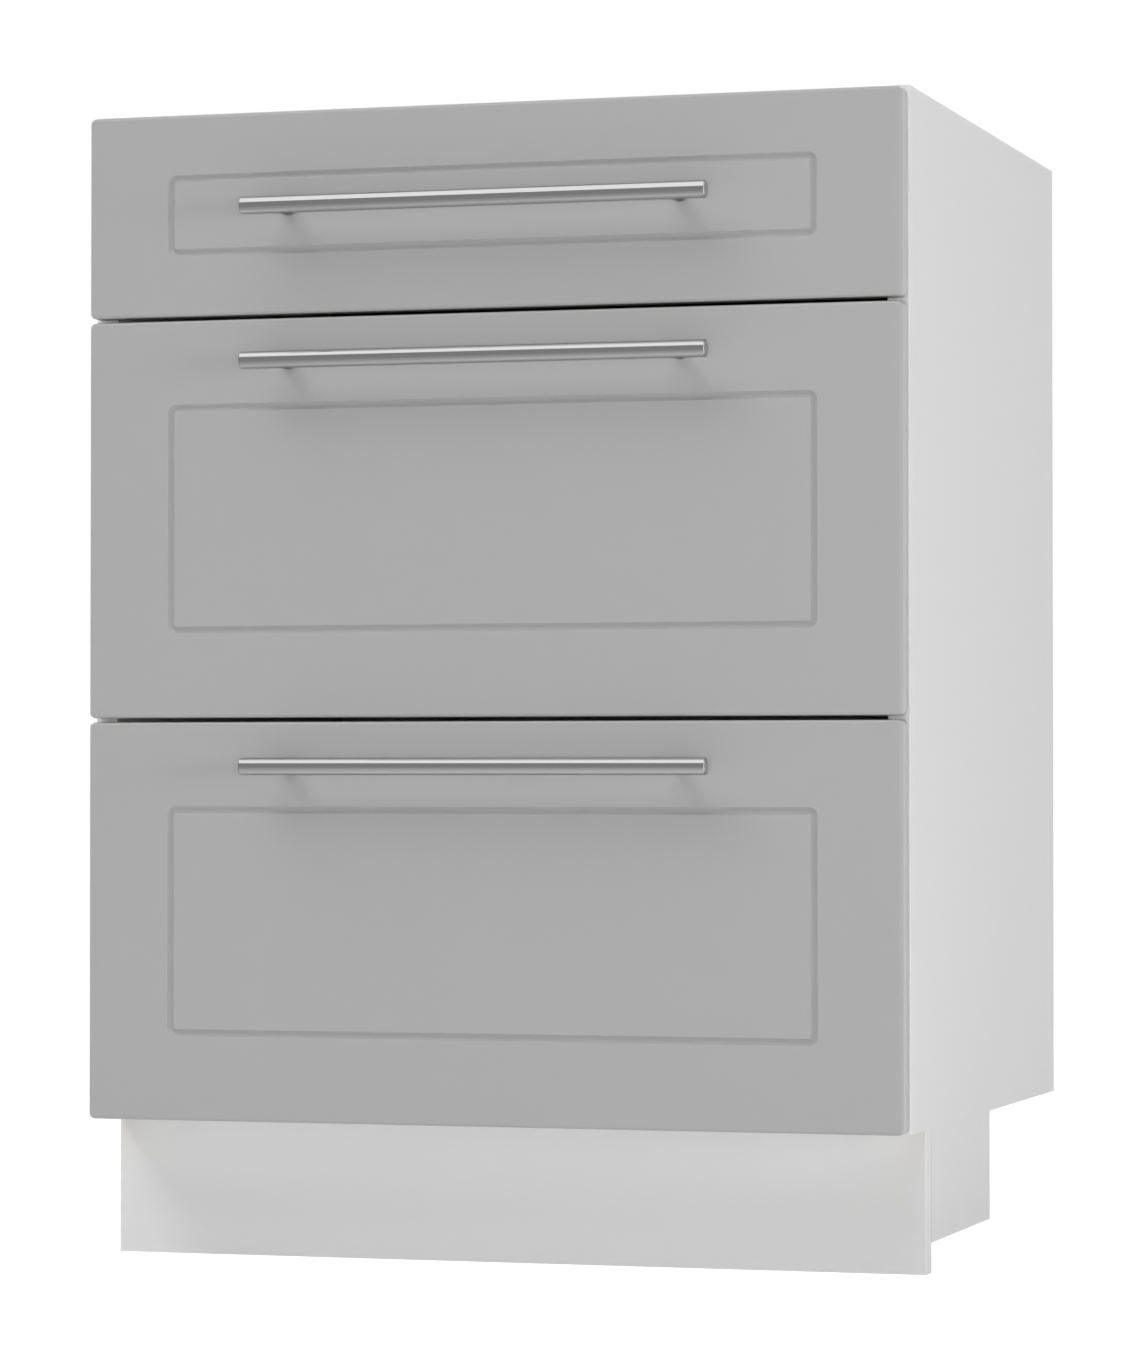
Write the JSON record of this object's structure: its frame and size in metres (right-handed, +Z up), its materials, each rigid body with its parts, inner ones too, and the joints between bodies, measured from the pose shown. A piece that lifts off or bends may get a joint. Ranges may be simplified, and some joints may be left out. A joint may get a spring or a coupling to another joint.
{
  "type": "kitchen base cabinet with drawers",
  "caption": "Floor-standing kitchen base cabinet with stacked drawers on ball runners, grooved grey fronts, bar handles, white carcass, kickboard and adjustable legs.",
  "frame": {"origin": "on the floor, under the middle of the box around the cabinet and its handles", "axes": "+Z up; the drawer fronts face -Y and open along -Y; +X is to the right of someone facing the fronts"},
  "size_m": [0.6, 0.5494, 0.82],
  "materials": {
    "white_board": "white melamine-faced chipboard",
    "back_sheet": "thin white-faced fibreboard",
    "grey_front": "matt grey foil on routed fibreboard",
    "drawer_board": "white-faced drawer board",
    "brushed_steel": "brushed",
    "zinc_steel": "zinc-plated sheet",
    "screw_steel": "zinc-plated",
    "black_plastic": "moulded",
    "beech": "turned dowel",
    "clear_rubber": "soft dot"
  },
  "bodies": {
    "carcass": {"side_panel_right": "white_board", "side_panel_left": "white_board", "bottom_panel": "white_board", "top_rail_front": "white_board", "top_rail_rear": "white_board", "back_panel": "back_sheet", "cam_bolts": "screw_steel", "cam_discs": "screw_steel", "dowels": "beech", "bumpers": "clear_rubber", "runner_screws": "screw_steel", "plinth_panel": "white_board", "plinth_return_right": "white_board", "plinth_return_left": "white_board", "leg_sockets": "black_plastic", "plinth_clips": "black_plastic", "base_screws": "screw_steel", "top_runner_cabinet_members": "zinc_steel", "middle_runner_cabinet_members": "zinc_steel", "bottom_runner_cabinet_members": "zinc_steel"},
    "top_drawer": {"top_front": "grey_front", "top_handle_bar": "brushed_steel", "top_handle_posts": "brushed_steel", "top_handle_screws": "screw_steel", "top_box_side_right": "drawer_board", "top_box_side_left": "drawer_board", "top_box_front": "drawer_board", "top_box_back": "drawer_board", "top_box_base": "back_sheet", "top_wood_screws": "screw_steel", "top_runner_drawer_members": "zinc_steel"},
    "top_cages": {"top_ball_cages": "zinc_steel"},
    "middle_drawer": {"middle_front": "grey_front", "middle_handle_bar": "brushed_steel", "middle_handle_posts": "brushed_steel", "middle_handle_screws": "screw_steel", "middle_box_side_right": "drawer_board", "middle_box_side_left": "drawer_board", "middle_box_front": "drawer_board", "middle_box_back": "drawer_board", "middle_box_base": "back_sheet", "middle_wood_screws": "screw_steel", "middle_runner_drawer_members": "zinc_steel"},
    "middle_cages": {"middle_ball_cages": "zinc_steel"},
    "bottom_drawer": {"bottom_front": "grey_front", "bottom_handle_bar": "brushed_steel", "bottom_handle_posts": "brushed_steel", "bottom_handle_screws": "screw_steel", "bottom_box_side_right": "drawer_board", "bottom_box_side_left": "drawer_board", "bottom_box_front": "drawer_board", "bottom_box_back": "drawer_board", "bottom_box_base": "back_sheet", "bottom_wood_screws": "screw_steel", "bottom_runner_drawer_members": "zinc_steel"},
    "bottom_cages": {"bottom_ball_cages": "zinc_steel"},
    "front_left_foot": {"foot_front_left": "black_plastic"},
    "front_right_foot": {"foot_front_right": "black_plastic"},
    "rear_left_foot": {"foot_rear_left": "black_plastic"},
    "rear_right_foot": {"foot_rear_right": "black_plastic"}
  },
  "joints": [
    {"name": "top_drawer_slide", "type": "slide", "parent": "carcass", "child": "top_drawer", "axis": [0, -1, 0], "range_m": [0, 0.34]},
    {"name": "top_cages_slide", "type": "slide", "parent": "carcass", "child": "top_cages", "axis": [0, -1, 0], "range_m": [0, 0.17]},
    {"name": "middle_drawer_slide", "type": "slide", "parent": "carcass", "child": "middle_drawer", "axis": [0, -1, 0], "range_m": [0, 0.34]},
    {"name": "middle_cages_slide", "type": "slide", "parent": "carcass", "child": "middle_cages", "axis": [0, -1, 0], "range_m": [0, 0.17]},
    {"name": "bottom_drawer_slide", "type": "slide", "parent": "carcass", "child": "bottom_drawer", "axis": [0, -1, 0], "range_m": [0, 0.34]},
    {"name": "bottom_cages_slide", "type": "slide", "parent": "carcass", "child": "bottom_cages", "axis": [0, -1, 0], "range_m": [0, 0.17]},
    {"name": "front_left_foot_height", "type": "slide", "parent": "carcass", "child": "front_left_foot", "axis": [0, 0, -1], "range_m": [-0.012, 0.02]},
    {"name": "front_right_foot_height", "type": "slide", "parent": "carcass", "child": "front_right_foot", "axis": [0, 0, -1], "range_m": [-0.012, 0.02]},
    {"name": "rear_left_foot_height", "type": "slide", "parent": "carcass", "child": "rear_left_foot", "axis": [0, 0, -1], "range_m": [-0.012, 0.02]},
    {"name": "rear_right_foot_height", "type": "slide", "parent": "carcass", "child": "rear_right_foot", "axis": [0, 0, -1], "range_m": [-0.012, 0.02]}
  ],
  "couplings": [
    {"joint": "top_cages_slide", "follows": "top_drawer_slide", "ratio": 0.5},
    {"joint": "middle_cages_slide", "follows": "middle_drawer_slide", "ratio": 0.5},
    {"joint": "bottom_cages_slide", "follows": "bottom_drawer_slide", "ratio": 0.5}
  ]
}
